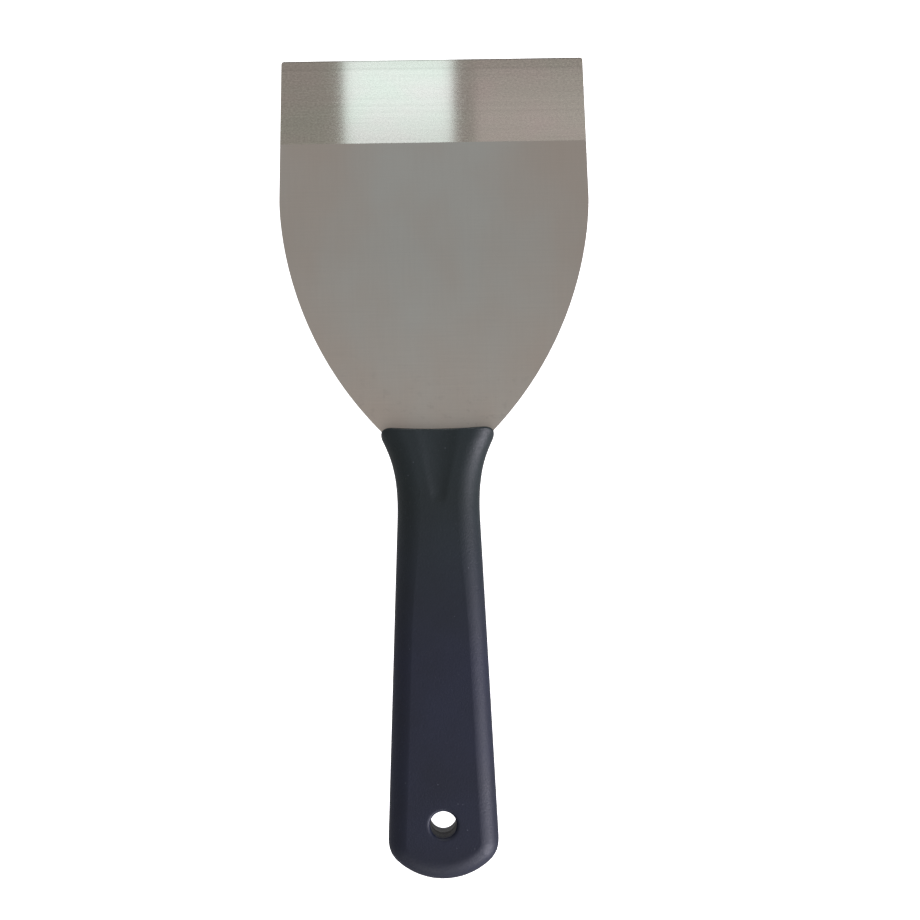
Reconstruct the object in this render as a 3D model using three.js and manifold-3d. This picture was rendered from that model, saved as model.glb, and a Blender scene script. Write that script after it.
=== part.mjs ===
// A flexible putty knife: a taper-ground stainless blade with its tang moulded into a plastic handle.
//
// Millimetres. +Y runs from the handle's butt to the blade's edge, +X across the blade, and +Z out
// of the front face. The tool lies on the flat back of its handle, which is z = 0. The middle of
// its length and width is x = 0, y = 0.

import * as THREE from 'three';
import { mergeVertices } from 'three/addons/utils/BufferGeometryUtils.js';
import Module from 'manifold-3d';

// ---- Driving dimensions: the whole tool ----
const HANDLE_LENGTH = 148;
const BLADE_EXPOSED = 123;
const HANDLE_THICKNESS = 18;
const CLEARANCE = 0.3; // kept between the steel and the plastic all round

// ---- Driving dimensions: blade and tang ----
const EDGE_WIDTH = 100;
const EDGE_CORNER = 1;
const WIDEST = 102.7;
const WIDEST_FROM_EDGE = 46.5;
const SHOULDER_PULL = 10.6; // how strongly the flank keeps to the blade's side before it turns in
const BLADE_WIDTH_AT_MOUTH = 37.9;
const FLANK_PULL = 42.6; // how strongly the flank keeps to its slant before it reaches the mouth
const FLANK_ANGLE = THREE.MathUtils.degToRad(44);
const BLADE_THICKNESS = 0.8;
const EDGE_THICKNESS = 0.4;
const GROUND_BAND = 27.5;
const TANG_WIDTH = 18;
const TANG_LENGTH = 100;
const TANG_END_RADIUS = 6;
const TANG_FILLET = 10;
const ANCHOR_HOLE_RADIUS = 3.5;
const ANCHOR_HOLES_FROM_MOUTH = [35, 62, 89];

// ---- Driving dimensions: handle ----
const MOUTH_WIDTH = 39.3;
const MOUTH_CORNER = 2.3;
const MOUTH_CHAMFER = 1.2;
const MOUTH_SPLAY = 0.43; // how fast each side widens at the mouth, in mm per mm
const MOUTH_PULL = 3; // how strongly each side keeps that slant
const NECK_WIDTH = 27.15;
const NECK_FROM_MOUTH = 25;
const NECK_PULL = 13.3; // how strongly each side keeps to the neck's width above it
const NECK_BLEND = 2.5; // how far each way the side takes to bend from the neck into the flare
const BUTT_WIDTH = 36.4;
const BUTT_CORNER_RADIUS = 9;
const BUTT_ARCH_RADIUS = 22.5;
const EDGE_ROLL = 5; // size of the quarter-round along the handle's long edges
const HANG_HOLE_FROM_BUTT = 18.7;
const HANG_HOLE_RADIUS = 4.5;
const HANG_HOLE_DRAFT = 0.15; // how much wider the hole is at each face than at mid-thickness
const HANG_HOLE_RIM = 0.9;
const RECESS_LENGTH = 21;
const RECESS_AT_MOUTH = { width: 14, depth: 0.9 };
const RECESS_AT_END = { width: 5, depth: 0.5 };

// ---- Places worked out from them ----
const OVERALL_LENGTH = HANDLE_LENGTH + BLADE_EXPOSED;
const BUTT_Y = -OVERALL_LENGTH / 2;
const MOUTH_Y = BUTT_Y + HANDLE_LENGTH;
const EDGE_Y = OVERALL_LENGTH / 2;
const MID_Z = HANDLE_THICKNESS / 2;

// ---- How finely round stretches are cut up, and how far a cutting shape runs past its work ----
const OUTLINE_STEPS = 10;
const ROLL_STEPS = 5;
const RIM_STEPS = 4;
const HOLE_STEPS = 40;
const SCOOP_STEPS = 96;
const OVERSHOOT = 6;

const wasm = await Module();
wasm.setup();

// ---- Joining and cutting ----

// A closed three.js geometry as a solid. Triangles that have no area, as at a lathe's poles, go.
function solid(geometry) {
  geometry.deleteAttribute('normal');
  geometry.deleteAttribute('uv');
  const merged = mergeVertices(geometry, 1e-4);
  const corners = merged.index.array;
  const kept = [];
  for (let i = 0; i < corners.length; i += 3) {
    const [a, b, c] = corners.slice(i, i + 3);
    if (a !== b && b !== c && c !== a) {
      kept.push(a, b, c);
    }
  }
  return new wasm.Manifold(new wasm.Mesh({
    numProp: 3,
    vertProperties: new Float32Array(merged.attributes.position.array),
    triVerts: new Uint32Array(kept),
  }));
}

// A solid as a named mesh of its own material.
function part(name, body, look) {
  const cut = body.getMesh();
  const geometry = new THREE.BufferGeometry();
  geometry.setAttribute('position', new THREE.BufferAttribute(cut.vertProperties, 3));
  geometry.setIndex(new THREE.BufferAttribute(cut.triVerts, 1));
  geometry.computeVertexNormals();
  const mesh = new THREE.Mesh(geometry, new THREE.MeshStandardMaterial(look));
  mesh.name = name;
  return mesh;
}

// A plan outline given thickness, from low to high along Z.
function plate(shape, low, high) {
  const geometry = new THREE.ExtrudeGeometry(shape, {
    depth: high - low,
    bevelEnabled: false,
    curveSegments: OUTLINE_STEPS,
  });
  return solid(geometry.translate(0, 0, low));
}

// A side outline of (y, z) points given width, from -halfWidth to halfWidth along X.
function slab(points, halfWidth) {
  const shape = new THREE.Shape(points.map(([y, z]) => new THREE.Vector2(y, z)));
  const geometry = new THREE.ExtrudeGeometry(shape, { depth: 2 * halfWidth, bevelEnabled: false });
  geometry.translate(0, 0, -halfWidth);
  const turned = new THREE.Matrix4().makeBasis(
    new THREE.Vector3(0, 1, 0),
    new THREE.Vector3(0, 0, 1),
    new THREE.Vector3(1, 0, 0),
  );
  return solid(geometry.applyMatrix4(turned));
}

// ---- Blade ----

// The sheet's plan outline, tang included, moved out by grow. holeRadius is its anchor holes'.
function sheetOutline(grow, holeRadius) {
  const edge = EDGE_WIDTH / 2 + grow;
  const edgeY = EDGE_Y + grow;
  const widest = WIDEST / 2 + grow;
  const widestY = EDGE_Y - WIDEST_FROM_EDGE;
  const atMouth = BLADE_WIDTH_AT_MOUTH / 2 + grow;
  const flankX = atMouth + FLANK_PULL * Math.sin(FLANK_ANGLE);
  const flankY = MOUTH_Y + FLANK_PULL * Math.cos(FLANK_ANGLE);
  const tang = TANG_WIDTH / 2 + grow;
  const tangEndY = MOUTH_Y - TANG_LENGTH - grow;
  const roundX = tang - TANG_END_RADIUS;
  const roundY = tangEndY + TANG_END_RADIUS;
  // The flank's slant, carried on into the handle, meets the tang's side at this height.
  const meetY = MOUTH_Y - (atMouth - tang) / Math.tan(FLANK_ANGLE);

  const shape = new THREE.Shape();
  shape.moveTo(tang, roundY);
  shape.lineTo(tang, meetY - TANG_FILLET);
  shape.quadraticCurveTo(tang, meetY, atMouth, MOUTH_Y);
  shape.bezierCurveTo(flankX, flankY, widest, widestY - SHOULDER_PULL, widest, widestY);
  shape.lineTo(edge, edgeY - EDGE_CORNER);
  shape.quadraticCurveTo(edge, edgeY, edge - EDGE_CORNER, edgeY);
  shape.lineTo(EDGE_CORNER - edge, edgeY);
  shape.quadraticCurveTo(-edge, edgeY, -edge, edgeY - EDGE_CORNER);
  shape.lineTo(-widest, widestY);
  shape.bezierCurveTo(-widest, widestY - SHOULDER_PULL, -flankX, flankY, -atMouth, MOUTH_Y);
  shape.quadraticCurveTo(-tang, meetY, -tang, meetY - TANG_FILLET);
  shape.lineTo(-tang, roundY);
  shape.absarc(-roundX, roundY, TANG_END_RADIUS, Math.PI, Math.PI * 1.5);
  shape.absarc(roundX, roundY, TANG_END_RADIUS, Math.PI * 1.5, Math.PI * 2);
  for (const fromMouth of ANCHOR_HOLES_FROM_MOUTH) {
    const hole = new THREE.Path();
    hole.absarc(0, MOUTH_Y - fromMouth, holeRadius, 0, Math.PI * 2);
    shape.holes.push(hole);
  }
  return shape;
}

// The sheet seen from the side: full thickness, then ground to an even taper on both faces. The
// taper is carried on past the edge, so that the plan outline alone ends the blade.
function sheetSideView() {
  const half = BLADE_THICKNESS / 2;
  const slope = (half - EDGE_THICKNESS / 2) / GROUND_BAND;
  const bandY = EDGE_Y - GROUND_BAND;
  const pastY = EDGE_Y + OVERSHOOT;
  const halfPast = half - slope * (pastY - bandY);
  return [
    [BUTT_Y, MID_Z - half],
    [bandY, MID_Z - half],
    [pastY, MID_Z - halfPast],
    [pastY, MID_Z + halfPast],
    [bandY, MID_Z + half],
    [BUTT_Y, MID_Z + half],
  ];
}

function makeBlade() {
  const outline = sheetOutline(0, ANCHOR_HOLE_RADIUS);
  const blank = plate(outline, MID_Z - BLADE_THICKNESS, MID_Z + BLADE_THICKNESS);
  return part('blade', blank.intersect(slab(sheetSideView(), WIDEST)), {
    color: 0x9a958c,
    roughness: 0.32,
    metalness: 1,
  });
}

// ---- Handle ----

// The handle's plan outline, clockwise from the mouth. It is carried on past the mouth, along the
// slant that its sides have there, for the mouth's own shape to be cut into it. Each side pulls in
// to the neck, then runs straight until it touches the butt's corner arc.
function handleOutline() {
  const past = 2 * OVERSHOOT;
  const mouth = MOUTH_WIDTH / 2;
  const pullX = mouth - MOUTH_PULL * MOUTH_SPLAY;
  const pullY = MOUTH_Y - MOUTH_PULL;
  const neck = NECK_WIDTH / 2;
  const neckY = MOUTH_Y - NECK_FROM_MOUTH;
  const bendY = neckY - NECK_BLEND;
  const corner = BUTT_CORNER_RADIUS;
  const cornerX = BUTT_WIDTH / 2 - corner;
  const archY = BUTT_Y + BUTT_ARCH_RADIUS;
  const cornerY = archY - Math.sqrt((BUTT_ARCH_RADIUS - corner) ** 2 - cornerX ** 2);
  const join = Math.atan2(cornerY - archY, cornerX); // where each corner's arc meets the arch

  // The straight flare starts towards the bend's corner and touches the butt's corner arc.
  const toCentre = Math.atan2(cornerY - bendY, cornerX - neck);
  const flare = toCentre + Math.asin(corner / Math.hypot(cornerX - neck, cornerY - bendY));
  const touch = flare + Math.PI / 2;
  const flareX = neck + NECK_BLEND * Math.cos(flare);
  const flareY = bendY + NECK_BLEND * Math.sin(flare);

  const shape = new THREE.Shape();
  shape.moveTo(-mouth - past * MOUTH_SPLAY, MOUTH_Y + past);
  shape.lineTo(mouth + past * MOUTH_SPLAY, MOUTH_Y + past);
  shape.lineTo(mouth, MOUTH_Y);
  shape.bezierCurveTo(pullX, pullY, neck, neckY + NECK_PULL, neck, neckY);
  shape.quadraticCurveTo(neck, bendY, flareX, flareY);
  shape.absarc(cornerX, cornerY, corner, touch, join, true);
  shape.absarc(0, archY, BUTT_ARCH_RADIUS, join, -Math.PI - join, true);
  shape.absarc(-cornerX, cornerY, corner, -Math.PI - join, -Math.PI - touch, true);
  shape.lineTo(-flareX, flareY);
  shape.quadraticCurveTo(-neck, bendY, -neck, neckY);
  shape.bezierCurveTo(-neck, neckY + NECK_PULL, -pullX, pullY, -mouth, MOUTH_Y);
  return shape;
}

// The handle as if it ran on past its mouth, with its long edges rolled over.
function handleBar() {
  const geometry = new THREE.ExtrudeGeometry(handleOutline(), {
    depth: HANDLE_THICKNESS - 2 * EDGE_ROLL,
    curveSegments: OUTLINE_STEPS,
    bevelEnabled: true,
    bevelThickness: EDGE_ROLL,
    bevelSize: EDGE_ROLL,
    bevelOffset: -EDGE_ROLL,
    bevelSegments: ROLL_STEPS,
  });
  return solid(geometry.translate(0, 0, EDGE_ROLL));
}

// What is left after the mouth is trimmed: rounded corners in plan, chamfered edges from the side.
function mouthTrim() {
  const mouth = MOUTH_WIDTH / 2;
  const clearX = WIDEST;
  const plan = new THREE.Shape();
  plan.moveTo(-clearX, BUTT_Y - OVERSHOOT);
  plan.lineTo(clearX, BUTT_Y - OVERSHOOT);
  plan.lineTo(clearX, MOUTH_Y - clearX);
  plan.lineTo(mouth, MOUTH_Y - 1.5 * MOUTH_CORNER);
  plan.quadraticCurveTo(mouth, MOUTH_Y, mouth - MOUTH_CORNER, MOUTH_Y);
  plan.lineTo(MOUTH_CORNER - mouth, MOUTH_Y);
  plan.quadraticCurveTo(-mouth, MOUTH_Y, -mouth, MOUTH_Y - 1.5 * MOUTH_CORNER);
  plan.lineTo(-clearX, MOUTH_Y - clearX);
  const high = HANDLE_THICKNESS + OVERSHOOT;
  const slantY = MOUTH_Y - MOUTH_CHAMFER - OVERSHOOT;
  const sideView = [
    [BUTT_Y - OVERSHOOT, -OVERSHOOT],
    [slantY, -OVERSHOOT],
    [MOUTH_Y, MOUTH_CHAMFER],
    [MOUTH_Y + OVERSHOOT, MOUTH_CHAMFER],
    [MOUTH_Y + OVERSHOOT, HANDLE_THICKNESS - MOUTH_CHAMFER],
    [MOUTH_Y, HANDLE_THICKNESS - MOUTH_CHAMFER],
    [slantY, high],
    [BUTT_Y - OVERSHOOT, high],
  ];
  return plate(plan, -2 * OVERSHOOT, high + OVERSHOOT).intersect(slab(sideView, 2 * clearX));
}

// The tang's pocket, open at the mouth. Its holes leave the plugs that fill the anchor holes.
function tangPocket() {
  const halfHeight = BLADE_THICKNESS / 2 + CLEARANCE;
  const outline = sheetOutline(CLEARANCE, ANCHOR_HOLE_RADIUS - CLEARANCE);
  return plate(outline, MID_Z - halfHeight, MID_Z + halfHeight);
}

// The radius of the round scoop that leaves a dip of this width and depth in a flat face.
function scoopRadius({ width, depth }) {
  return (width ** 2 / 4 + depth ** 2) / (2 * depth);
}

// The thumb recess: a cone laid along the neck, sheared so that it dips to its stated depths, with
// a ball that rounds its end. placed moves each piece from the front face to where it cuts.
function thumbRecess(placed) {
  const length = RECESS_LENGTH + OVERSHOOT;
  const endRadius = scoopRadius(RECESS_AT_END);
  const mouthRadius = scoopRadius(RECESS_AT_MOUTH);
  const endZ = HANDLE_THICKNESS - RECESS_AT_END.depth + endRadius;
  const mouthZ = HANDLE_THICKNESS - RECESS_AT_MOUTH.depth + mouthRadius;
  const widening = (mouthRadius - endRadius) / RECESS_LENGTH;
  const climb = (mouthZ - endZ) / RECESS_LENGTH;
  const endY = MOUTH_Y - RECESS_LENGTH;

  const pastRadius = endRadius + widening * length;
  const cone = new THREE.CylinderGeometry(pastRadius, endRadius, length, SCOOP_STEPS);
  cone.translate(0, length / 2, 0);
  cone.applyMatrix4(new THREE.Matrix4().makeShear(0, 0, 0, climb, 0, 0));
  cone.translate(0, endY, endZ);
  const ball = new THREE.SphereGeometry(endRadius, SCOOP_STEPS, SCOOP_STEPS / 2);
  ball.rotateX(Math.PI / 2);
  ball.translate(0, endY, endZ);
  return solid(placed(cone)).add(solid(placed(ball)));
}

// The hang hole, drafted both ways from mid-thickness, with a rounded rim at each face.
function hangHole() {
  const faceRadius = HANG_HOLE_RADIUS + HANG_HOLE_DRAFT;
  const rimRadius = faceRadius + HANG_HOLE_RIM;
  const lowerRim = [];
  for (let i = 0; i <= RIM_STEPS; i += 1) {
    const angle = (Math.PI / 2) * (i / RIM_STEPS);
    lowerRim.push(new THREE.Vector2(
      rimRadius - HANG_HOLE_RIM * Math.sin(angle),
      HANG_HOLE_RIM * (1 - Math.cos(angle)),
    ));
  }
  const upperRim = lowerRim.map(({ x, y }) => new THREE.Vector2(x, HANDLE_THICKNESS - y)).reverse();
  const profile = [
    new THREE.Vector2(0, -OVERSHOOT),
    new THREE.Vector2(rimRadius, -OVERSHOOT),
    ...lowerRim,
    new THREE.Vector2(HANG_HOLE_RADIUS, MID_Z),
    ...upperRim,
    new THREE.Vector2(rimRadius, HANDLE_THICKNESS + OVERSHOOT),
    new THREE.Vector2(0, HANDLE_THICKNESS + OVERSHOOT),
  ];
  const cutter = new THREE.LatheGeometry(profile, HOLE_STEPS);
  cutter.rotateX(Math.PI / 2);
  return solid(cutter.translate(0, BUTT_Y + HANG_HOLE_FROM_BUTT, 0));
}

function makeHandle() {
  const onFront = (geometry) => geometry;
  const onBack = (geometry) => geometry.rotateY(Math.PI).translate(0, 0, HANDLE_THICKNESS);
  const body = handleBar()
    .intersect(mouthTrim())
    .subtract(thumbRecess(onFront))
    .subtract(thumbRecess(onBack))
    .subtract(hangHole())
    .subtract(tangPocket());
  return part('handle', body, { color: 0x2b2f3a, roughness: 0.5, metalness: 0 });
}

const puttyKnife = new THREE.Group();
puttyKnife.name = 'putty_knife';
puttyKnife.add(makeBlade(), makeHandle());

export default puttyKnife;
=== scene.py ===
# %% [markdown]
# # A flexible putty knife
#
# The real tool is two pieces: a thin stainless sheet with a taper-ground edge, and a plastic
# handle moulded over the sheet's tang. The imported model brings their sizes, their places and the
# hinge that stands in for the sheet's bending. This notebook makes their surfaces and finishes.
# Shapes are worked out in millimetres, and become metres when a mesh is made.

# %% Load the fixed frame
import math

import bmesh
import bpy
import numpy as np
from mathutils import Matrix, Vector


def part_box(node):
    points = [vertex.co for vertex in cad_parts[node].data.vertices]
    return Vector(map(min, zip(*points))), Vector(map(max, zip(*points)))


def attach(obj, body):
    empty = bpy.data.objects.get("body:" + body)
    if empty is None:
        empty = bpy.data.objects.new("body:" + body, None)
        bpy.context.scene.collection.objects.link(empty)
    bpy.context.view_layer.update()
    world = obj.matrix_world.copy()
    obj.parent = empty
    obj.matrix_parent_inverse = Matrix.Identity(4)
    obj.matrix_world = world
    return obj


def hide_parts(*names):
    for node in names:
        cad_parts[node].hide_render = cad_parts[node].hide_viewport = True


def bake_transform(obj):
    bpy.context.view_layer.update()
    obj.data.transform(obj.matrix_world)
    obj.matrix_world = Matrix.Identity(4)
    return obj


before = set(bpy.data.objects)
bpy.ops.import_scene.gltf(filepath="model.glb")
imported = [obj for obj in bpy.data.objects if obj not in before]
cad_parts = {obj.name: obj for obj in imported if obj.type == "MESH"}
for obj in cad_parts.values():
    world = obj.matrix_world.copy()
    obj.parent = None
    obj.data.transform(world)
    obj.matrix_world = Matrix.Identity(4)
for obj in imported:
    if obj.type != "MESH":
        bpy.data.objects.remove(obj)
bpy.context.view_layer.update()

MM = 0.001

# %% [markdown]
# ## Places
#
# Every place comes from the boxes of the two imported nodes. The handle's box gives the butt, the
# mouth and the two flat faces. The sheet's box gives the honed edge, the tang's end and the
# middle plane. What a box can't give, such as a radius, is a named value where it is needed.

# %% Places along the tool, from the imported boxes
handle_low, handle_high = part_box("handle")
sheet_low, sheet_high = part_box("blade")
BUTT, MOUTH = handle_low.y / MM, handle_high.y / MM
TANG_END, EDGE = sheet_low.y / MM, sheet_high.y / MM
MIDDLE = (sheet_low.z + sheet_high.z) / 2 / MM
HALF_HANDLE = (handle_high.z - handle_low.z) / 2 / MM
HALF_SHEET = (sheet_high.z - sheet_low.z) / 2 / MM
print(f"handle {MOUTH - BUTT:.1f} mm long, blade stands out {EDGE - MOUTH:.1f} mm")

# %% [markdown]
# ## The camera
#
# The tool lies level, face up, and the camera looks straight down on it from a little over half
# a metre, as a hand-held one does. It could be an orthographic camera, but then the hang hole's
# wall wouldn't show, so it is a perspective one. A small turn sets the tool's slight lean, and a
# small shift puts it left of the middle.

# %% Camera straight above the tool
CAMERA_AT = (0.001, 0.0026, 0.569)
camera_data = bpy.data.cameras.new("camera")
camera_data.sensor_width = 36
camera_data.lens = 66
camera_data.shift_x = 0.0207
camera = bpy.data.objects.new("camera", camera_data)
camera.location = CAMERA_AT
camera.rotation_euler = (0, 0, math.radians(-0.87))
bpy.context.scene.collection.objects.link(camera)
bpy.context.scene.camera = camera
print("camera", [round(v / MM) for v in CAMERA_AT], "mm")

# %% [markdown]
# ## Grids and how they join
#
# Each surface here is a grid of points worked out as one array. A grid's quads come from its
# rows and columns, and a piece is a list of grids whose borders share the same places. One weld
# then makes them a single closed skin, and drops the quads that a closing row squeezes flat.

# %% From grids of points to one welded mesh
WELD = 1e-7
SHARP_FROM = math.radians(40)


def grid_quads(rows, columns, start, closed):
    """Corner numbers of every quad between neighbouring rows and columns. A closed grid also
    joins its last column to its first."""
    numbers = start + np.arange(rows * columns).reshape(rows, columns)
    if closed:
        numbers = np.concatenate([numbers, numbers[:, :1]], axis=1)
    corners = [numbers[:-1, :-1], numbers[:-1, 1:], numbers[1:, 1:], numbers[1:, :-1]]
    return np.stack([c.ravel() for c in corners], axis=1)


def skin(name, grids):
    """One object from (points, closed, windows) grids in millimetres. A window is a (rows,
    columns) pair of slices whose quads are left out."""
    places, quads, count = [], [], 0
    for points, closed, windows in grids:
        rows, columns = points.shape[:2]
        keep = np.ones((rows - 1, columns if closed else columns - 1), bool)
        for window in windows:
            keep[window] = False
        quads.append(grid_quads(rows, columns, count, closed)[keep.ravel()])
        places.append(points.reshape(-1, 3) * MM)
        count += rows * columns
    mesh = bpy.data.meshes.new(name)
    mesh.from_pydata(np.concatenate(places).tolist(), [], np.concatenate(quads).tolist())
    work = bmesh.new()
    work.from_mesh(mesh)
    bmesh.ops.remove_doubles(work, verts=work.verts, dist=WELD)
    bmesh.ops.dissolve_degenerate(work, edges=work.edges, dist=WELD)
    loose = [v for v in work.verts if not v.link_faces]
    bmesh.ops.delete(work, geom=loose, context="VERTS")
    bmesh.ops.recalc_face_normals(work, faces=work.faces)
    open_edges = sum(not e.is_manifold for e in work.edges)
    volume = work.calc_volume(signed=True) / MM**3
    work.to_mesh(mesh)
    work.free()
    mesh.shade_smooth()
    mesh.set_sharp_from_angle(angle=SHARP_FROM)
    made = bpy.data.objects.new(name, mesh)
    bpy.context.scene.collection.objects.link(made)
    print(f"{name}: {len(mesh.polygons)} faces, {open_edges} open edges, {volume:.0f} mm3")
    return made


# %% [markdown]
# ## Curves
#
# Both outlines are drawn the way a pattern maker would lay them out: arcs, straight lines and
# Bezier curves from point to point. A curve here is an array of (x, y) points, and a chain of
# curves can be cut again into even steps, so that neighbouring grids meet point for point.

# %% Curves in plan
def bezier(*controls, steps):
    """The sum of the control points, each weighed by its Bernstein polynomial of t from 0 to 1."""
    degree = len(controls) - 1
    t = np.linspace(0, 1, steps + 1)[:, None]
    weights = [math.comb(degree, k) * t**k * (1 - t) ** (degree - k) for k in range(degree + 1)]
    return sum(w * np.array(c, float) for w, c in zip(weights, controls))


def arc(centre, radius, start, end, steps):
    """The centre plus the radius times (cosine, sine) of an angle that runs from start to end."""
    angle = np.linspace(start, end, steps + 1)
    return np.array(centre) + radius * np.stack([np.cos(angle), np.sin(angle)], axis=1)


def chain(*curves):
    """Curves end to end, with each shared end kept once."""
    return np.concatenate([curves[0]] + [c[1:] for c in curves[1:]])


def recut(curve, shares):
    """Points on a curve at these shares of its length, read off its running length."""
    run = np.concatenate([[0], np.cumsum(np.hypot(*np.diff(curve, axis=0).T))])
    return np.stack([np.interp(shares * run[-1], run, curve[:, k]) for k in (0, 1)], axis=1)


def mirrored(curve):
    """The same curve across the tool's middle line, run the other way."""
    return curve[::-1] * [-1, 1]


def ease(x, start, end):
    """0 before start, 1 after end, and 3t^2 - 2t^3 in between."""
    t = np.clip((x - start) / (end - start), 0, 1)
    return t * t * (3 - 2 * t)


# %% [markdown]
# ## The blade
#
# The blade is blanked from 0.8 mm hardened stainless sheet. Its tang, with three anchor holes,
# is buried in the handle. The last 27.5 mm are ground to a taper on both faces, and the last
# 3 mm are honed a little steeper. It could be an outline with Solidify, but the taper needs its
# own thickness at each row, so the sheet is a closed tube of rows from the tang's end to the
# edge. Each row runs across the top, round one thin side, back underneath and round the other.

# %% The blade's outline: half its width at each height
TANG_HALF, TANG_CORNER, TANG_FILLET = 9, 6, 10
MOUTH_HALF, FLANK_PULL, FLANK_ANGLE = 18.95, 42.6, math.radians(44)
WIDEST_HALF, WIDEST_FROM_EDGE, SHOULDER_PULL = 51.35, 46.5, 10.6
EDGE_HALF, EDGE_CORNER = 50, 1
GROUND_BAND, HONED_STRIP = 27.5, 3
EDGE_THINNESS, STRIP_THINNESS = 0.17, 0.225

band_start = EDGE - GROUND_BAND
strip_start = EDGE - HONED_STRIP
widest_at = EDGE - WIDEST_FROM_EDGE
flank_meets_tang = MOUTH - (MOUTH_HALF - TANG_HALF) / math.tan(FLANK_ANGLE)
flank_control = (MOUTH_HALF + FLANK_PULL * math.sin(FLANK_ANGLE),
                 MOUTH + FLANK_PULL * math.cos(FLANK_ANGLE))


def side_line(height):
    """A point on the straight side between the widest place and the edge's corner."""
    share = (height - widest_at) / (EDGE - EDGE_CORNER - widest_at)
    return (WIDEST_HALF + share * (EDGE_HALF - WIDEST_HALF), height)


blade_side = chain(
    arc((TANG_HALF - TANG_CORNER, TANG_END + TANG_CORNER), TANG_CORNER, -math.pi / 2, 0, 8),
    bezier((TANG_HALF, TANG_END + TANG_CORNER), (TANG_HALF, flank_meets_tang - TANG_FILLET),
           steps=74),
    bezier((TANG_HALF, flank_meets_tang - TANG_FILLET), (TANG_HALF, flank_meets_tang),
           (MOUTH_HALF, MOUTH), steps=10),
    bezier((MOUTH_HALF, MOUTH), flank_control, (WIDEST_HALF, widest_at - SHOULDER_PULL),
           (WIDEST_HALF, widest_at), steps=48),
    bezier(side_line(widest_at), side_line(band_start), steps=10),
    bezier(side_line(band_start), side_line(strip_start), steps=14),
    bezier(side_line(strip_start), side_line(EDGE - EDGE_CORNER), steps=4),
    bezier(side_line(EDGE - EDGE_CORNER), (EDGE_HALF, EDGE), (EDGE_HALF - EDGE_CORNER, EDGE),
           steps=6),
)
print("blade rows", len(blade_side), "widest", 2 * blade_side[:, 0].max().round(2), "mm")

# %% The sheet as one tube of rows
ACROSS = 40
BURR = 0.08
ANCHOR_RADIUS, ANCHOR_SPAN = 3.5, 5.4
ANCHORS_FROM_MOUTH = (35, 62, 89)
RING_STEPS = 4


def half_thickness(height):
    """Full to the ground band, then falling evenly to the honed strip, then to the edge."""
    return np.interp(height, [band_start, strip_start, EDGE],
                     [HALF_SHEET, STRIP_THINNESS, EDGE_THINNESS])


def sheet_rows(side):
    """For each outline row, a closed ring: x is the row's half-width times -1 to 1 and z its
    half-thickness, with a burr-sized chamfer at each thin side."""
    half, height = side[:, :1], side[:, 1:]
    thick = half_thickness(height)
    across = np.linspace(-1, 1, ACROSS + 1)[None]
    top_x = across * (half - BURR)
    x = np.concatenate([top_x, half, half, top_x[:, ::-1], -half, -half], axis=1)
    rim = thick - BURR
    z = np.concatenate([thick + 0 * top_x, rim, -rim, 0 * top_x - thick, -rim, rim], axis=1)
    return np.stack([x, height + 0 * x, MIDDLE + z], axis=2)


def closed_ends(rows):
    """A first and last row squeezed onto the middle plane, which close the tube."""
    ends = rows[[0, -1]].copy()
    ends[:, :, 2] = MIDDLE
    return np.concatenate([ends[:1], rows, ends[1:]])


def window_border(points, rows, columns):
    """The points round a window of a grid, once round."""
    block = points[rows.start:rows.stop + 1, columns.start:columns.stop + 1]
    return np.concatenate([block[0, :-1], block[:-1, -1], block[-1, :0:-1], block[:0:-1, 0]])


def ring(border, centre, radii, heights):
    """From a window's border in to a circle at the same angles, then along a profile of
    (radius, height), and back out to the same border on the far side of the middle plane."""
    plan = border[:, :2]
    spoke = plan - centre
    unit = spoke / np.hypot(*spoke.T)[:, None]
    share = np.linspace(0, 1, RING_STEPS + 1)[:-1, None, None]
    near = (1 - share) * plan + share * (centre + radii[0] * unit)
    wall = centre + radii[:, None, None] * unit
    level = border[:, 2]
    near_z = (1 - share[:, :, 0]) * level + share[:, :, 0] * heights[0]
    wall_z = heights[:, None] + 0 * level
    xy = np.concatenate([near, wall, near[::-1]])
    z = np.concatenate([near_z, wall_z, 2 * MIDDLE - near_z[::-1]])
    return np.concatenate([xy, z[:, :, None]], axis=2)


sheet = closed_ends(sheet_rows(blade_side))
windows, anchor_rings = [], []
for from_mouth in ANCHORS_FROM_MOUTH:
    centre = np.array([0, MOUTH - from_mouth])
    near_rows = np.flatnonzero(abs(sheet[:, 0, 1] - centre[1]) < ANCHOR_SPAN)
    near_columns = np.flatnonzero(abs(sheet[near_rows[0], :ACROSS + 1, 0]) < ANCHOR_SPAN)
    rows = slice(near_rows[0], near_rows[-1])
    columns = slice(near_columns[0], near_columns[-1])
    far_columns = slice(ACROSS + 3 + ACROSS - columns.stop, ACROSS + 3 + ACROSS - columns.start)
    windows += [(rows, columns), (rows, far_columns)]
    border = window_border(sheet, rows, columns)
    anchor_rings.append((ring(border, centre, np.full(2, ANCHOR_RADIUS),
                              MIDDLE + HALF_SHEET * np.array([1, -1])), True, []))
blade = skin("blade_sheet", [(sheet, True, windows)] + anchor_rings)

# %% [markdown]
# The grinding pattern has to bend with the blade and keep its direction, so it isn't read from
# Object coordinates but from a UV map in millimetres: across the blade and along it. The ground
# band is a second finish on the same mesh, and its two borders are kept as crisp creases.

# %% UV in millimetres, crisp grind borders, and which faces are ground
SATIN, GROUND = 0, 1
FLAT_MAP = "flat_mm"
ON_LINE = 1e-3


def vertex_places(mesh):
    """All vertex places as rows of (x, y, z) in millimetres."""
    flat = np.zeros(3 * len(mesh.vertices))
    mesh.vertices.foreach_get("co", flat)
    return flat.reshape(-1, 3) / MM


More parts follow.
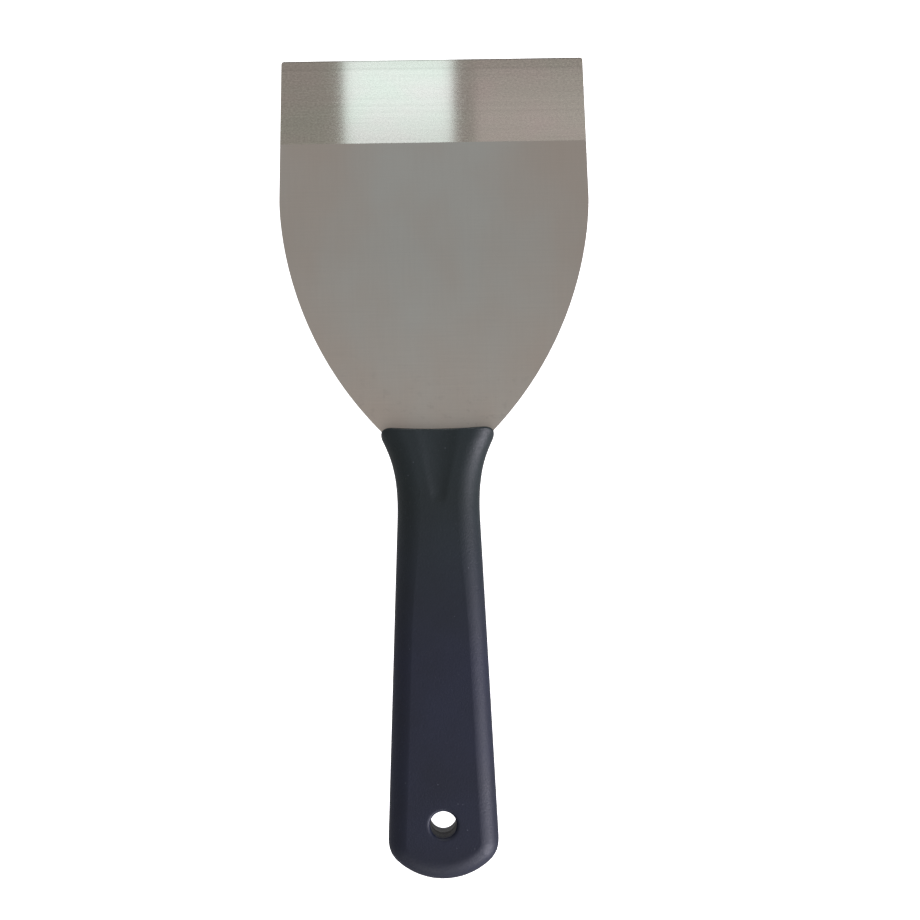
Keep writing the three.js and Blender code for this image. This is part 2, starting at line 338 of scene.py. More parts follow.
def map_flat(mesh):
    """U is x and V is y, in millimetres."""
    corner_vertex = np.zeros(len(mesh.loops), int)
    mesh.loops.foreach_get("vertex_index", corner_vertex)
    flat = mesh.uv_layers.new(name=FLAT_MAP)
    flat.data.foreach_set("uv", vertex_places(mesh)[corner_vertex, :2].ravel())


def crease_at(mesh, height):
    """Edges that lie along this height are sharp."""
    ends = np.zeros(2 * len(mesh.edges), int)
    mesh.edges.foreach_get("vertices", ends)
    from_line = abs(vertex_places(mesh)[ends.reshape(-1, 2), 1] - height).max(axis=1)
    on_line = from_line < ON_LINE
    sharp = np.zeros(len(mesh.edges), bool)
    mesh.attributes["sharp_edge"].data.foreach_get("value", sharp)
    mesh.attributes["sharp_edge"].data.foreach_set("value", sharp | on_line)
    print("creased", on_line.sum(), "edges at", round(height, 1), "mm")


map_flat(blade.data)
crease_at(blade.data, band_start)
crease_at(blade.data, strip_start)
face_middles = np.zeros(3 * len(blade.data.polygons))
blade.data.polygons.foreach_get("center", face_middles)
is_ground = face_middles.reshape(-1, 3)[:, 1] / MM > band_start
blade_finish = np.where(is_ground, GROUND, SATIN)
print("ground faces", is_ground.sum())

# %% [markdown]
# ## The handle
#
# The handle is one injection moulding of polypropylene. In plan it has a rounded mouth, a
# slim neck and a long straight flare to an arched butt. Its two faces are flat, and its edges
# roll over to the side walls, where the two halves of the mould met and left a fine ridge.
# A subdivided box could give this, but the neck's wide roll and the mouth's tight one would need
# many hand-placed loops. Instead each part of the skin is a grid: two faces, one belt for the
# rolled edges and walls, and one ring for the hang hole.

# %% The handle's outline, from the middle of the mouth to the middle of the butt
HANDLE_MOUTH_HALF, MOUTH_LIP, MOUTH_DIP, MOUTH_SPLAY = 19.65, 0.9, 0.5, 0.43
CORNER_ACROSS, CORNER_DOWN = 4.6, 3.0
NECK_HALF, NECK_FROM_MOUTH, NECK_PULL, NECK_BLEND = 13.575, 25, 13.3, 2.5
BUTT_HALF, BUTT_CORNER, BUTT_ARCH = 18.2, 9, 22.5

neck_at = MOUTH - NECK_FROM_MOUTH
bend_at = neck_at - NECK_BLEND
corner_x = BUTT_HALF - BUTT_CORNER
arch_at = BUTT + BUTT_ARCH
corner_at = arch_at - math.sqrt((BUTT_ARCH - BUTT_CORNER) ** 2 - corner_x**2)
join = math.atan2(corner_at - arch_at, corner_x)
reach = math.hypot(corner_x - NECK_HALF, corner_at - bend_at)
flare = math.atan2(corner_at - bend_at, corner_x - NECK_HALF) + math.asin(BUTT_CORNER / reach)
touch = flare + math.pi / 2
half_turn = (touch + join) / 2
flare_start = (NECK_HALF + NECK_BLEND * math.cos(flare), bend_at + NECK_BLEND * math.sin(flare))

corner_end = (HANDLE_MOUTH_HALF - CORNER_DOWN * MOUTH_SPLAY, MOUTH - CORNER_DOWN)
mouth_flat = np.linspace(0, HANDLE_MOUTH_HALF - CORNER_ACROSS, 33)
mouth_dip = MOUTH_DIP * (1 - (mouth_flat / mouth_flat[-1]) ** 2)
mouth_line = np.stack([mouth_flat, MOUTH + MOUTH_LIP - mouth_dip], axis=1)
mouth_corner = bezier(mouth_line[-1], (HANDLE_MOUTH_HALF, MOUTH + MOUTH_LIP), corner_end, steps=16)
flank = bezier(corner_end, (corner_end[0] - 3 * MOUTH_SPLAY, corner_end[1] - 3),
               (NECK_HALF, neck_at + NECK_PULL), (NECK_HALF, neck_at), steps=60)
neck = bezier((NECK_HALF, neck_at), (NECK_HALF, bend_at), flare_start, steps=8)
upper_corner = arc((corner_x, corner_at), BUTT_CORNER, touch, half_turn, 16)
lower_corner = arc((corner_x, corner_at), BUTT_CORNER, half_turn, join, 16)
arch = arc((0, arch_at), BUTT_ARCH, join, -math.pi / 2, 24)

mouth_run = chain(mouth_line, mouth_corner[:9])
side_run = chain(mouth_corner[8:], flank, neck, upper_corner)
butt_run = chain(lower_corner, arch)
print("handle outline", len(mouth_run) + len(side_run) + len(butt_run), "points a side")

# %% The outline in even steps, once round, and the direction out of it
FACE_ACROSS = 48
FINE_STEP, COARSE_STEP, FINE_LENGTH = 0.55, 1.5, 30


def side_shares(length):
    """Fine steps along the neck and the recess, then coarse ones to the butt."""
    fine = np.arange(0, FINE_LENGTH, FINE_STEP)
    coarse = np.linspace(FINE_LENGTH, length, round((length - FINE_LENGTH) / COARSE_STEP))
    return np.concatenate([fine, coarse]) / length


def curve_length(curve):
    """The sum of the curve's steps."""
    return np.hypot(*np.diff(curve, axis=0).T).sum()


half_shares = np.linspace(0, 1, FACE_ACROSS // 2 + 1)
down_shares = side_shares(curve_length(side_run))
mouth_half = recut(mouth_run, half_shares)
right_side = recut(side_run, down_shares)
butt_half = recut(butt_run, half_shares)
top_side = chain(mirrored(mouth_half), mouth_half)
bottom_side = chain(butt_half, mirrored(butt_half))
outline = chain(top_side, right_side, bottom_side, mirrored(right_side))[:-1]


def outward(loop):
    """Each point's direction out of a clockwise loop: its neighbours' chord turned a quarter."""
    chord = np.roll(loop, -1, axis=0) - np.roll(loop, 1, axis=0)
    return np.stack([-chord[:, 1], chord[:, 0]], axis=1) / np.hypot(*chord.T)[:, None]


out = outward(outline)
print(f"outline: {len(outline)} steps of about {curve_length(outline) / len(outline):.2f} mm")

# %% [markdown]
# The roll along the edges is a quarter of an ellipse, 7.5 mm wide, so the slim neck is nearly
# round for the fingers. Along the flare it starts a few degrees down its quarter, which leaves a
# faint line between face and roll. The mouth cuts straight across this section and has only a
# small round of its own. So the height of the skin is worked out from the plan: flat, less the
# thumb recess, less the roll's drop at this distance from the side.

# %% The height of the skin over the middle plane
ROLL, NECK_DROP, FLARE_DROP = 7.5, 7.3, 6.2
FLARE_CREASE = math.radians(11)
NECK_SECTION_TO, FLARE_SECTION_FROM = 28, 62
SIDE_CARRIED_ON = 9
RECESS_LENGTH = 21
RECESS_HALF_AT_MOUTH, RECESS_HALF_AT_END = 7, 2.6
RECESS_DEPTH_AT_MOUTH, RECESS_DEPTH_AT_END = 0.85, 0.45
RECESS_LIP = 0.14


def to_flare(height, at_neck, at_flare):
    """One value as far as the neck, easing to another along the flare."""
    below = MOUTH - height
    return at_neck + (at_flare - at_neck) * ease(below, NECK_SECTION_TO, FLARE_SECTION_FROM)


def recess_dip(plan):
    """How far the thumb recess lies below the flat face: a parabola across, as deep and wide as
    its distance from the mouth gives, with a round end, and a soft lip where it comes out."""
    below = MOUTH - plan[..., 1]
    share = np.clip(below / RECESS_LENGTH, 0, 1)
    wide = RECESS_HALF_AT_MOUTH + share * (RECESS_HALF_AT_END - RECESS_HALF_AT_MOUTH)
    deep = RECESS_DEPTH_AT_MOUTH + share * (RECESS_DEPTH_AT_END - RECESS_DEPTH_AT_MOUTH)
    past = np.maximum(below - RECESS_LENGTH, 0)
    bowl = deep * (1 - (plan[..., 0] ** 2 + past**2) / wide**2)
    return (bowl + np.sqrt(bowl**2 + RECESS_LIP**2)) / 2


def side_distance(plan):
    """How far a point is from the side: its gap along X times the cosine of the side's slant.
    Above the mouth's corner, the side is its own slant carried on."""
    above = (corner_end[0] + SIDE_CARRIED_ON * MOUTH_SPLAY, corner_end[1] + SIDE_CARRIED_ON)
    side = np.concatenate([[above], side_run[8:], butt_run[1:-1]])[::-1]
    slant = np.arctan(np.gradient(side[:, 0], side[:, 1]))
    edge_x = np.interp(plan[..., 1], side[:, 1], side[:, 0])
    cosine = np.interp(plan[..., 1], side[:, 1], np.cos(slant))
    return (edge_x - abs(plan[..., 0])) * cosine


def roll_drop(plan, distance):
    """The ellipse's drop: its height times (cosine of the starting angle - the root of
    1 - (1 - distance / width)^2), and nothing on the flat face."""
    crease = to_flare(plan[..., 1], 0, FLARE_CREASE)
    height = to_flare(plan[..., 1], NECK_DROP, FLARE_DROP)
    inwards = np.clip(1 - distance / ROLL, 0, 1)
    return np.maximum(height * (np.cos(crease) - np.sqrt(1 - inwards**2)), 0)


def face_rise(plan):
    """Height of the face over the middle plane."""
    return HALF_HANDLE - recess_dip(plan) - roll_drop(plan, side_distance(plan))


# %% [markdown]
# The face grid can't reach a rounded corner with wide borders, so its own border runs close to
# the mouth and moves in to the full width of the roll over the first 20 mm of each side.

# %% Where the face grid ends and the belt begins
MOUTH_ROUND, MOUTH_ROUND_DROP = 0.7, 0.8
ROUND_FULL_TO, ROUND_GONE_FROM = 0.5, 5
NARROW_TO, WIDE_FROM = 2, 20
DRAFT = math.tan(math.radians(1))

below = MOUTH - outline[:, 1]
crease = to_flare(outline[:, 1], 0, FLARE_CREASE)
full_width = ROLL * (1 - np.sin(crease))
belt_width = MOUTH_ROUND + (full_width - MOUTH_ROUND) * ease(below, NARROW_TO, WIDE_FROM)
mouth_share = 1 - ease(below, ROUND_FULL_TO, ROUND_GONE_FROM)
face_border = outline - out * belt_width[:, None]
print(f"belt {belt_width.min():.1f} to {belt_width.max():.1f} mm wide, "
      f"recess {recess_dip(face_border).max():.2f} mm deep")

# %% The belt: rolled edge, wall with the blade's slot and the mould's ridge, rolled edge
ROLL_STEPS = 14
RIDGE = 0.07
SLOT_DEPTH, SLOT_HALF, SLOT_REACH = 1.5, 0.46, 18.3
MOUTH_END = 1.5
WALL_SHARES = np.array([[0.35], [0.7]])
WALL_LEVELS = np.array([SLOT_HALF + 0.04, SLOT_HALF, 0.2, 0])


def belt():
    """Rows from one face's border to the other's. On the roll, the row's place is the outline
    moved in by the belt's width times (1 - sine), with the skin's height there, less the mouth's
    round, which is its drop times (1 - cosine). The wall leans in with the mould's draft."""
    angle = np.linspace(0, math.pi / 2, ROLL_STEPS + 1)[:, None]
    inward = belt_width * (1 - np.sin(angle))
    plan = outline - out * inward[:, :, None]
    on_side = (1 - mouth_share) * inward + mouth_share * side_distance(plan)
    rise = (HALF_HANDLE - recess_dip(plan) - roll_drop(plan, on_side)
            - mouth_share * MOUTH_ROUND_DROP * (1 - np.cos(angle)))
    rise[0] = face_rise(plan[0])
    wall_top = rise[-1]
    between = wall_top + (WALL_LEVELS[0] - wall_top) * WALL_SHARES
    wall_rise = np.concatenate([between, WALL_LEVELS[:, None] + 0 * wall_top])
    in_slot = (abs(outline[:, 0]) < SLOT_REACH) & (below < MOUTH_END)
    sunk = (wall_rise <= SLOT_HALF) & in_slot
    bulge = DRAFT * (wall_top - wall_rise) + RIDGE * (wall_rise == 0)
    upper_rise = np.concatenate([rise, wall_rise])
    upper_in = np.concatenate([inward, np.where(sunk, SLOT_DEPTH, -bulge)])
    all_rise = np.concatenate([upper_rise, -upper_rise[-2::-1]])
    all_in = np.concatenate([upper_in, upper_in[-2::-1]])
    places = outline - out * all_in[:, :, None]
    return np.concatenate([places, MIDDLE + all_rise[:, :, None]], axis=2)


# %% The faces: a patch between four border curves, and the hang hole's ring
HOLE_FROM_BUTT, HOLE_RADIUS, HOLE_DRAFT, HOLE_RIM = 18.7, 4.3, 0.1, 1.15
HOLE_WINDOW = 7.2
HOLE_WALL_LEVELS = np.array([4, 0.2, 0])
HOLE_RIDGE = np.array([0, 0, RIDGE])
RIM_STEPS = 6


def patch(border):
    """A Coons patch: the blend of top and bottom, plus the blend of left and right, less the
    blend of the four corners."""
    top = border[:FACE_ACROSS + 1]
    right = border[FACE_ACROSS:FACE_ACROSS + len(down_shares)]
    left = mirrored(right)[::-1]
    bottom_start = FACE_ACROSS + len(down_shares) - 1
    bottom = border[bottom_start:bottom_start + FACE_ACROSS + 1][::-1]
    s = np.linspace(0, 1, FACE_ACROSS + 1)[None, :, None]
    t = down_shares[:, None, None]
    down = (1 - t) * top + t * bottom
    over = (1 - s) * left[:, None] + s * right[:, None]
    corners = ((1 - s) * (1 - t) * top[0] + s * (1 - t) * top[-1]
               + (1 - s) * t * bottom[0] + s * t * bottom[-1])
    return down + over - corners


def hole_profile():
    """Radii and heights from one rim to the other: a quarter-round rim, then a wall that narrows
    to the middle plane, where the two core pins met and left a fine ridge."""
    angle = np.linspace(0, math.pi / 2, RIM_STEPS + 1)
    face_radius = HOLE_RADIUS + HOLE_DRAFT
    rim_radii = face_radius + HOLE_RIM * (1 - np.sin(angle))
    rim_heights = HALF_HANDLE - HOLE_RIM * (1 - np.cos(angle))
    wall_radii = HOLE_RADIUS + HOLE_DRAFT * HOLE_WALL_LEVELS / HALF_HANDLE - HOLE_RIDGE
    radii = np.concatenate([rim_radii, wall_radii])
    heights = np.concatenate([rim_heights, HOLE_WALL_LEVELS])
    return np.concatenate([radii, radii[-2::-1]]), np.concatenate([heights, -heights[-2::-1]])


face_plan = patch(face_border)
rise = face_rise(face_plan)[:, :, None]
front = np.concatenate([face_plan, MIDDLE + rise], axis=2)
back = np.concatenate([face_plan, MIDDLE - rise], axis=2)
hole_at = np.array([0, BUTT + HOLE_FROM_BUTT])
middle_column = front[:, FACE_ACROSS // 2]
hole_rows = np.flatnonzero(abs(middle_column[:, 1] - hole_at[1]) < HOLE_WINDOW)
hole_columns = np.flatnonzero(abs(front[hole_rows[0], :, 0]) < HOLE_WINDOW)
hole_window = (slice(hole_rows[0], hole_rows[-1]), slice(hole_columns[0], hole_columns[-1]))
hole_radii, hole_heights = hole_profile()
hole = ring(window_border(front, *hole_window), hole_at, hole_radii, MIDDLE + hole_heights)
handle = skin("handle_moulding", [
    (front, False, [hole_window]),
    (back, False, [hole_window]),
    (belt(), True, []),
    (hole, True, []),
])

# %% [markdown]
# ## Colours and nodes
#
# Paint charts and screens give colours as sRGB hex values, and Blender's sockets want linear
# light, so one function turns one into the other. One more function adds a node to a material
# with its settings and its links, so that each finish below reads as a list of its nodes.

# %% Helpers for the finishes
MATHS = "ShaderNodeMath"
RANGE = "ShaderNodeMapRange"
MIX = "ShaderNodeMix"
NOISE = "ShaderNodeTexNoise"
PRINCIPLED = "ShaderNodeBsdfPrincipled"


def colour(hex_value):
    """sRGB hex to linear RGBA: each channel over 12.92 when dark, else (c + 0.055) / 1.055 to
    the power 2.4."""
    channels = [int(hex_value[i:i + 2], 16) / 255 for i in (1, 3, 5)]
    linear = [c / 12.92 if c <= 0.04045 else ((c + 0.055) / 1.055) ** 2.4 for c in channels]
    return (*linear, 1)


def add(tree, kind, inputs=(), **settings):
    """A node of this kind with its settings. inputs is a list in socket order, or goes by socket
    name or number. Each input is a value, a socket, or a node, whose first live output it takes."""
    made = tree.nodes.new(kind)
    for name, value in settings.items():
        setattr(made, name, value)
    by_socket = inputs if isinstance(inputs, dict) else dict(enumerate(inputs))
    for key, value in by_socket.items():
        if isinstance(value, bpy.types.Node):
            value = next(output for output in value.outputs if output.enabled)
        if isinstance(value, bpy.types.NodeSocket):
            tree.links.new(value, made.inputs[key])
        else:
            made.inputs[key].default_value = value
    return made


def new_finish(name):
    """An empty material and its node tree."""
    material = bpy.data.materials.new(name)
    material.use_nodes = True
    material.node_tree.nodes.clear()
    return material, material.node_tree


# %% [markdown]
# ## Stainless steel, satin rolled
#
# The body of the sheet is hardened stainless as it comes from the mill, lightly brushed across.
# Its roughness is about 0.45, so it mirrors nothing sharp: the eye sees an even warm grey with
# faint clouds from polishing and a few water marks. Real brushing is 0.05 mm apart, which is
# too fine to show, so it is drawn 0.7 mm apart.
#
# A range node's inputs below are its value, the low and high it comes from, and the low and high
# it goes to. Noise stays mostly between 0.3 and 0.7, so ranges on noise start from there, or from
# less to give it more contrast. Pattern sizes are in mm, along the brushing and then across it.

# %% Satin stainless
NOISE_SPAN = (0.3, 0.7)
FIRM_SPAN = (0.35, 0.65)
QUARTER_TURN = 0.25
BRUSHED_CLOUDS, BRUSHING, CROSS_LINES, WATER_MARKS = (30, 45), (24, 0.7), (0.9, 18), (4, 3)
GROOVE_DEPTH = 0.004


def streaks(tree, flat, along, across, detail):
    """A pattern from 0 to 1 drawn out along U. along and across are its sizes in mm."""
    scale = (1 / along, 1 / across, 1)
    drawn_out = add(tree, "ShaderNodeMapping", {"Vector": flat, "Scale": scale})
    return add(tree, NOISE, {"Vector": drawn_out, "Scale": 1.0, "Detail": detail,
                             "Roughness": 0.65})


def satin_stainless():
    """Warm towards both sides and the mouth, greyer in the middle, times brushing, times painted
    light that lightens the mouth end, less the water marks."""
    material, tree = new_finish("stainless_satin_rolled")
    flat = add(tree, "ShaderNodeUVMap", uv_map=FLAT_MAP)
    place = add(tree, "ShaderNodeSeparateXYZ", [flat])
    along = place.outputs["Y"]
    clouds = streaks(tree, flat, *BRUSHED_CLOUDS, 2)
    brushing = streaks(tree, flat, *BRUSHING, 4)
    cross = streaks(tree, flat, *CROSS_LINES, 3)
    water_marks = streaks(tree, flat, *WATER_MARKS, 4)

    off_middle = add(tree, MATHS, [place.outputs["X"]], operation="ABSOLUTE")
    side_warmth = add(tree, RANGE, [off_middle, 12, 42, 0, 0.75])
    mouth_warmth = add(tree, RANGE, [along, MOUTH, MOUTH + 45, 0.8, 0])
    cloud_warmth = add(tree, RANGE, [clouds, *FIRM_SPAN, -0.2, 0.35])
    both = add(tree, MATHS, [side_warmth, mouth_warmth], operation="MAXIMUM")
    warmth = add(tree, MATHS, [both, cloud_warmth], operation="ADD", use_clamp=True)
    grey_to_warm = {0: warmth, 6: colour("#c3c1bb"), 7: colour("#c5bab0")}
    warm = add(tree, MIX, grey_to_warm, data_type="RGBA")

    brushed = add(tree, RANGE, [brushing, *NOISE_SPAN, 0.965, 1.03])
    crossed = add(tree, RANGE, [cross, *NOISE_SPAN, 0.988, 1.012])
    fine = add(tree, MATHS, [brushed, crossed], operation="MULTIPLY")
    # Painted light: the steel's colour is made up to 17% lighter over the 60 mm next to the mouth.
    painted_light_at_mouth = add(tree, RANGE, [along, MOUTH, MOUTH + 60, 1.17, 1])
    with_painted_light_at_mouth = add(tree, MATHS, [fine, painted_light_at_mouth], operation="MULTIPLY")
    near_mouth = add(tree, RANGE, [along, MOUTH + 5, MOUTH + 28, 1, 0])
    darkest_marks = add(tree, RANGE, [water_marks, 0.56, 0.66, 0, 0.10])
    marked = add(tree, MATHS, [near_mouth, darkest_marks], operation="MULTIPLY")
    tone = add(tree, MATHS, [with_painted_light_at_mouth, marked], operation="SUBTRACT")
    toned = add(tree, MIX, {0: 1.0, 6: warm, 7: tone}, data_type="RGBA", blend_type="MULTIPLY")

    brushed_rough = add(tree, RANGE, [brushing, *NOISE_SPAN, 0.40, 0.47])
    cloud_rough = add(tree, RANGE, [clouds, *NOISE_SPAN, -0.02, 0.02])
    roughness = add(tree, MATHS, [brushed_rough, cloud_rough], operation="ADD")
    bump = add(tree, "ShaderNodeBump", {"Height": brushing, "Strength": 0.25,
                                        "Distance": GROOVE_DEPTH * MM})
    tangent = add(tree, "ShaderNodeTangent", direction_type="UV_MAP", uv_map=FLAT_MAP)
    steel = add(tree, PRINCIPLED, {
        "Base Color": toned, "Metallic": 1.0, "Roughness": roughness, "Anisotropic": 0.35,
        "Anisotropic Rotation": QUARTER_TURN, "Normal": bump, "Tangent": tangent})
    add(tree, "ShaderNodeOutputMaterial", {"Surface": steel})
    return material


# %% [markdown]
# ## Stainless steel, ground
#
# The band is ground by a fine wheel that runs along the edge. Its grooves all lie across the
# blade, so it mirrors sharply along them and smears what it mirrors across them. That is what
# Anisotropic is for: light spreads ten times wider along V than along U. Real grooves are about
# 0.1 mm apart. They are drawn 0.4 mm apart, with some wider wheel marks, and the honing stone's
# strip leaves a fine dark line where it stops and a dark burr at the very edge.

# %% Ground stainless
GROOVES, WHEEL_MARKS, SPECKLE, GROUND_CLOUDS = (70, 0.4), (160, 1.2), (0.8, 0.5), (30, 16)


def ground_stainless():
    """A warm grey times grooves, wheel marks, speckle, the honing stop line and the burr."""
    material, tree = new_finish("stainless_ground")
    flat = add(tree, "ShaderNodeUVMap", uv_map=FLAT_MAP)
    place = add(tree, "ShaderNodeSeparateXYZ", [flat])
    along = place.outputs["Y"]
    grooves = streaks(tree, flat, *GROOVES, 5)
    wheel_marks = streaks(tree, flat, *WHEEL_MARKS, 3)
    speckle = streaks(tree, flat, *SPECKLE, 2)
    clouds = streaks(tree, flat, *GROUND_CLOUDS, 2)

    cloud_warmth = add(tree, RANGE, [clouds, *FIRM_SPAN, 0, 1])
    grey_to_warm = {0: cloud_warmth, 6: colour("#bcb8ab"), 7: colour("#c0b6ac")}
    warm = add(tree, MIX, grey_to_warm, data_type="RGBA")

    grooved = add(tree, RANGE, [grooves, *NOISE_SPAN, 0.965, 1.03])
    wheeled = add(tree, RANGE, [wheel_marks, *NOISE_SPAN, 0.965, 1.03])
    speckled = add(tree, RANGE, [speckle, *FIRM_SPAN, 0.87, 1.11])
    past_stop = add(tree, MATHS, [along, strip_start], operation="SUBTRACT")
    from_stop = add(tree, MATHS, [past_stop], operation="ABSOLUTE")
    stop_line = add(tree, RANGE, [from_stop, 0.1, 0.6, 0.92, 1])
    burr = add(tree, RANGE, [along, EDGE - 0.45, EDGE - 0.1, 1, 0.5])
    marks = add(tree, MATHS, [grooved, wheeled], operation="MULTIPLY")
    lines = add(tree, MATHS, [stop_line, burr], operation="MULTIPLY")
    marked = add(tree, MATHS, [marks, lines], operation="MULTIPLY")
    tone = add(tree, MATHS, [marked, speckled], operation="MULTIPLY")
    toned = add(tree, MIX, {0: 1.0, 6: warm, 7: tone}, data_type="RGBA", blend_type="MULTIPLY")

    roughness = add(tree, RANGE, [speckle, *NOISE_SPAN, 0.085, 0.115])
    bump = add(tree, "ShaderNodeBump", {"Height": grooves, "Strength": 0.2,
                                        "Distance": GROOVE_DEPTH * MM})
    tangent = add(tree, "ShaderNodeTangent", direction_type="UV_MAP", uv_map=FLAT_MAP)
    steel = add(tree, PRINCIPLED, {
        "Base Color": toned, "Metallic": 1.0, "Roughness": roughness, "Anisotropic": 1.0,
        "Anisotropic Rotation": QUARTER_TURN, "Normal": bump, "Tangent": tangent})
    add(tree, "ShaderNodeOutputMaterial", {"Surface": steel})
    return material


# %% [markdown]
# ## Polypropylene, spark textured
#
# The handle is black-blue polypropylene from a mould with a fine spark-eroded texture. The eye
# sees a matt skin that goes pale where light grazes it. Its colour runs from near-black at the neck
# to dark blue at the butt, a painted light tint over the plastic's own dark colour. A few pale
# specks are painted glints, and there are soft patches where hands have made it a little darker or
# paler, smoother or rougher. The texture's real grain is 0.1 to 0.2 mm. It is drawn 0.6 mm across
# to show.

# %% Spark-textured polypropylene
GRAIN, GRAIN_DEPTH = 0.6, 0.12
WEAR = 24
GLINT_SPACING = 5
BLACK_TO, BLUE_FROM = 22, 75


def textured_polypropylene():
    """Near-black at the neck to dark blue at the butt as a painted light tint, times wear, with
    sparse painted glints.
    """
    material, tree = new_finish("polypropylene_spark_textured")
    place = add(tree, "ShaderNodeTexCoord").outputs["Object"]
    height = add(tree, "ShaderNodeSeparateXYZ", [place]).outputs["Y"]
    grain = add(tree, NOISE, {"Vector": place, "Scale": 1 / (GRAIN * MM), "Detail": 3.0,
                              "Roughness": 0.6})
    wear = add(tree, NOISE, {"Vector": place, "Scale": 1 / (WEAR * MM), "Detail": 4.0})
    specks = add(tree, "ShaderNodeTexVoronoi", {"Vector": place,
                                                "Scale": 1 / (GLINT_SPACING * MM)})

    # Painted light tint: over the plastic's own dark colour, the colour drifts from near-black at
    # the neck to dark blue at the butt.
    black_to, blue_from = (MOUTH - BLACK_TO) * MM, (MOUTH - BLUE_FROM) * MM
    painted_tint_share = add(tree, RANGE, [height, black_to, blue_from, 0, 1])
    painted_tint_black_to_blue = {0: painted_tint_share, 6: colour("#0a171b"), 7: colour("#060d23")}
    body = add(tree, MIX, painted_tint_black_to_blue, data_type="RGBA")
    worn = add(tree, RANGE, [wear, *NOISE_SPAN, 0.8, 1.2])
    clouded = add(tree, MIX, {0: 1.0, 6: body, 7: worn}, data_type="RGBA", blend_type="MULTIPLY")
    # Painted glints: sparse pale specks, mixed in at up to 35%.
    painted_glints = add(tree, RANGE, [specks, 0.02, 0.05, 0.35, 0])
    with_painted_glints = add(tree, MIX, {0: painted_glints, 6: clouded, 7: colour("#6a6d78")}, data_type="RGBA")

    grain_rough = add(tree, RANGE, [grain, *NOISE_SPAN, 0.46, 0.56])
    wear_rough = add(tree, RANGE, [wear, *NOISE_SPAN, -0.03, 0.03])
    roughness = add(tree, MATHS, [grain_rough, wear_rough], operation="ADD")
    bump = add(tree, "ShaderNodeBump", {"Height": grain, "Strength": 0.8,
                                        "Distance": GRAIN_DEPTH * MM})
    plastic = add(tree, PRINCIPLED, {
        "Base Color": with_painted_glints, "Metallic": 0.0, "Roughness": roughness, "IOR": 1.49,
        "Normal": bump})
    add(tree, "ShaderNodeOutputMaterial", {"Surface": plastic})
    return material


# %% [markdown]
# ## The pieces and their bodies
#
# Each piece stands for the imported node of the same name. The handle rides on its own body. The
# blade's mesh is fixed in the frame where it lies, and it is tied to no body.

# %% Finishes on, and the ties to the frame
blade.data.materials.append(satin_stainless())
blade.data.materials.append(ground_stainless())
blade.data.polygons.foreach_set("material_index", blade_finish)
handle.data.materials.append(textured_polypropylene())

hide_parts("blade")
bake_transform(blade)
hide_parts("handle")
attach(handle, "handle")

# %% [markdown]
# ## Floor and light
#
# The floor is a plain pale sheet of card with its far edges curled up, so no horizon shows. It
# glows a little, which keeps shadows faint, as on a light table, and it lies 20 mm under the
# tool, so that a blade bent downwards stays clear of it. The rest is a dim world for the steel
# to mirror, softboxes low at the right and at both ends, and a window and a dimmer pane high
# over the blade. The steel mirrors what is straight above it, so the window's place settles
# where the bright patch falls on the ground band. The softboxes are flagged off the blade, or
# from some sides it would be one flat glare: they light the handle and the floor only.

# %% A pale floor
FLOOR_HALF, FLOOR_FLAT_HALF, FLOOR_RIM = 9000, 8000, 2500
FLOOR_DROP = 20
CARD_GLOW = 0.95
FIBRE = 4


def pale_card():
    """White card with faint fibres and a faint glow."""
    material, tree = new_finish("card_matt_white")
    place = add(tree, "ShaderNodeTexCoord").outputs["Object"]
    fibre = add(tree, NOISE, {"Vector": place, "Scale": 1 / (FIBRE * MM), "Detail": 3.0})
    white_to_pale = {0: fibre, 6: colour("#f4f4f3"), 7: colour("#f8f8f7")}
    tone = add(tree, MIX, white_to_pale, data_type="RGBA")
    card = add(tree, PRINCIPLED, {
        "Base Color": tone, "Roughness": 0.9, "Specular IOR Level": 0.1,
        "Emission Color": colour("#ffffff"), "Emission Strength": CARD_GLOW})
    add(tree, "ShaderNodeOutputMaterial", {"Surface": card})
    return material


across_floor = np.array([-FLOOR_HALF, -FLOOR_FLAT_HALF, FLOOR_FLAT_HALF, FLOOR_HALF])
floor_x, floor_y = np.meshgrid(across_floor, across_floor)
at_rim = np.maximum(abs(floor_x), abs(floor_y)) > FLOOR_FLAT_HALF
floor_points = np.stack([floor_x, floor_y, at_rim * FLOOR_RIM - FLOOR_DROP], axis=2)
floor = skin("floor", [(floor_points, False, [])])
floor.data.materials.append(pale_card())
floor.visible_glossy = False

# %% The world and the lamps
LEFT_STRENGTH, ROOM_STRENGTH = 0.33, 0.45


def soft_room():
    """A dim even room: full strength overhead and to the right, darker low on the left."""
    world = bpy.data.worlds.new("soft_room")
    world.use_nodes = True
    tree = world.node_tree
    tree.nodes.clear()
    towards = add(tree, "ShaderNodeTexCoord").outputs["Generated"]
    sideways = add(tree, "ShaderNodeSeparateXYZ", {0: towards}).outputs["X"]
    strength = add(tree, RANGE, [sideways, -0.85, -0.15, LEFT_STRENGTH, ROOM_STRENGTH])
    light = add(tree, "ShaderNodeBackground", [(1.0, 0.99, 0.985, 1), strength])
    add(tree, "ShaderNodeOutputWorld", {"Surface": light})
    return world


bpy.context.scene.world = soft_room()
bpy.context.scene.view_settings.view_transform = "Standard"


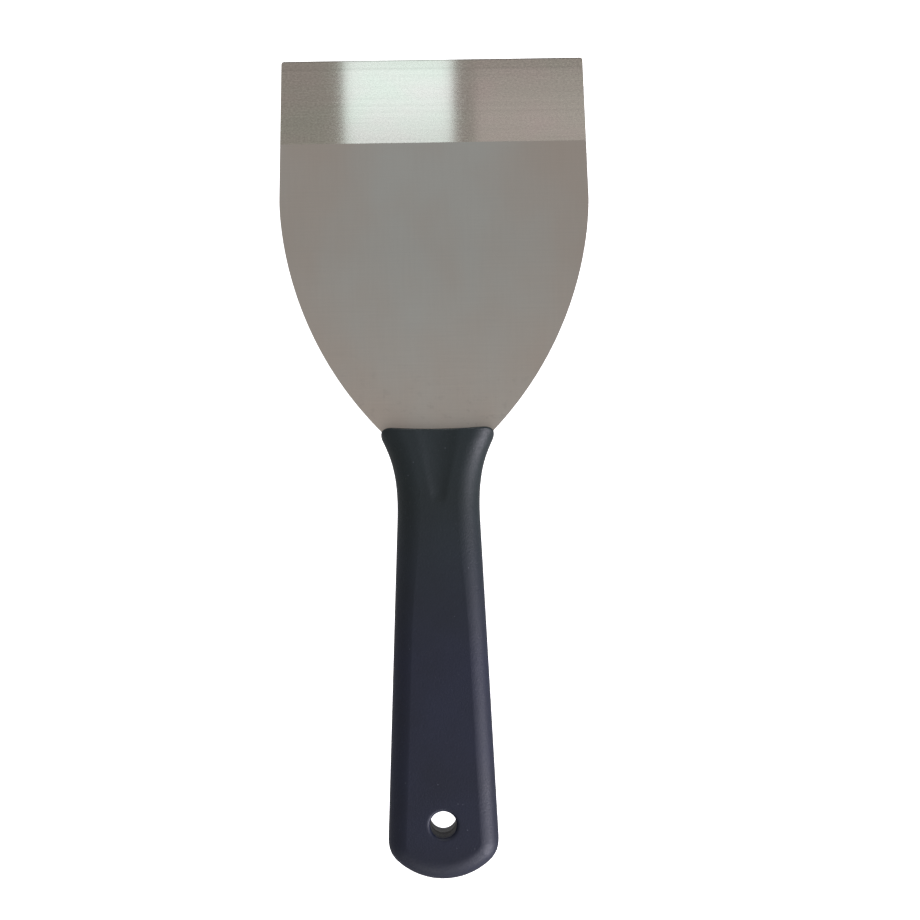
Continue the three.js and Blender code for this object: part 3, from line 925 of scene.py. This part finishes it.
def softbox(name, at, towards, size, watts, tint=(1, 1, 1)):
    """A rectangular lamp of this (width, height) in metres, at one point and aimed at another."""
    data = bpy.data.lights.new(name, "AREA")
    data.shape = "RECTANGLE"
    data.size, data.size_y = size
    data.energy = watts
    data.color = tint
    lamp = bpy.data.objects.new(name, data)
    lamp.location = at
    aim = (towards[k] - at[k] for k in range(3))
    lamp.rotation_euler = Vector(aim).to_track_quat("-Z", "Y").to_euler()
    bpy.context.scene.collection.objects.link(lamp)
    return lamp


soft_lamps = [
    softbox("right_softbox", (1.15, -0.85, 0.55), (0, -0.1, 0), (0.9, 0.8), 33, (0.92, 0.89, 1.0)),
    softbox("tip_softbox", (0, 1.5, 0.5), (0, 0, 0), (1.4, 0.6), 8),
    softbox("butt_softbox", (0, -1.5, 0.5), (0, 0, 0), (1.4, 0.6), 4),
]
handle_and_floor = bpy.data.collections.new("handle_and_floor")
handle_and_floor.objects.link(handle)
handle_and_floor.objects.link(floor)
for lamp in soft_lamps:
    lamp.light_linking.receiver_collection = handle_and_floor

# %% The window that the ground band mirrors, and a dimmer pane beside it
WINDOW_HEIGHT = 1.12
GRIND_TILT = 2 * math.atan2(HALF_SHEET - STRIP_THINNESS, GROUND_BAND - HONED_STRIP)
PANE_MARGIN, HONED_MARGIN, DIM_PANE_TOP = 5, 24, 15


def mirrored_place(x, y):
    """Where the camera's ray through this point of the blade, in mm, meets the window's height
    after the steel mirrors it, with the grind's tilt added."""
    point = np.array([x, y]) * MM
    eye = np.array(CAMERA_AT[:2])
    climb = (WINDOW_HEIGHT - MIDDLE * MM) / (CAMERA_AT[2] - MIDDLE * MM)
    return point + (point - eye) * climb + [0, GRIND_TILT * WINDOW_HEIGHT]


def window(name, left, right, low, high, radiance, tint):
    """A lamp high overhead whose mirror image covers this stretch of the blade, in mm. The honed
    strip is steeper than the band, so it mirrors a place further out: hence its wider margin."""
    near, far = mirrored_place(left, low), mirrored_place(right, high)
    middle, size = (near + far) / 2, far - near
    print(name, (size / MM).round(), "mm at", (middle / MM).round())
    watts = radiance * math.pi * size[0] * size[1]
    softbox(name, (*middle, WINDOW_HEIGHT), (*middle, 0), size, watts, tint)


panes_low = band_start - PANE_MARGIN
window("window", -29.5, 6.8, panes_low, EDGE + HONED_MARGIN, 2.0, (0.72, 0.9, 1.0))
window("dim_pane", 14, 60, panes_low, band_start + DIM_PANE_TOP, 0.6, (1.0, 0.88, 1.0))
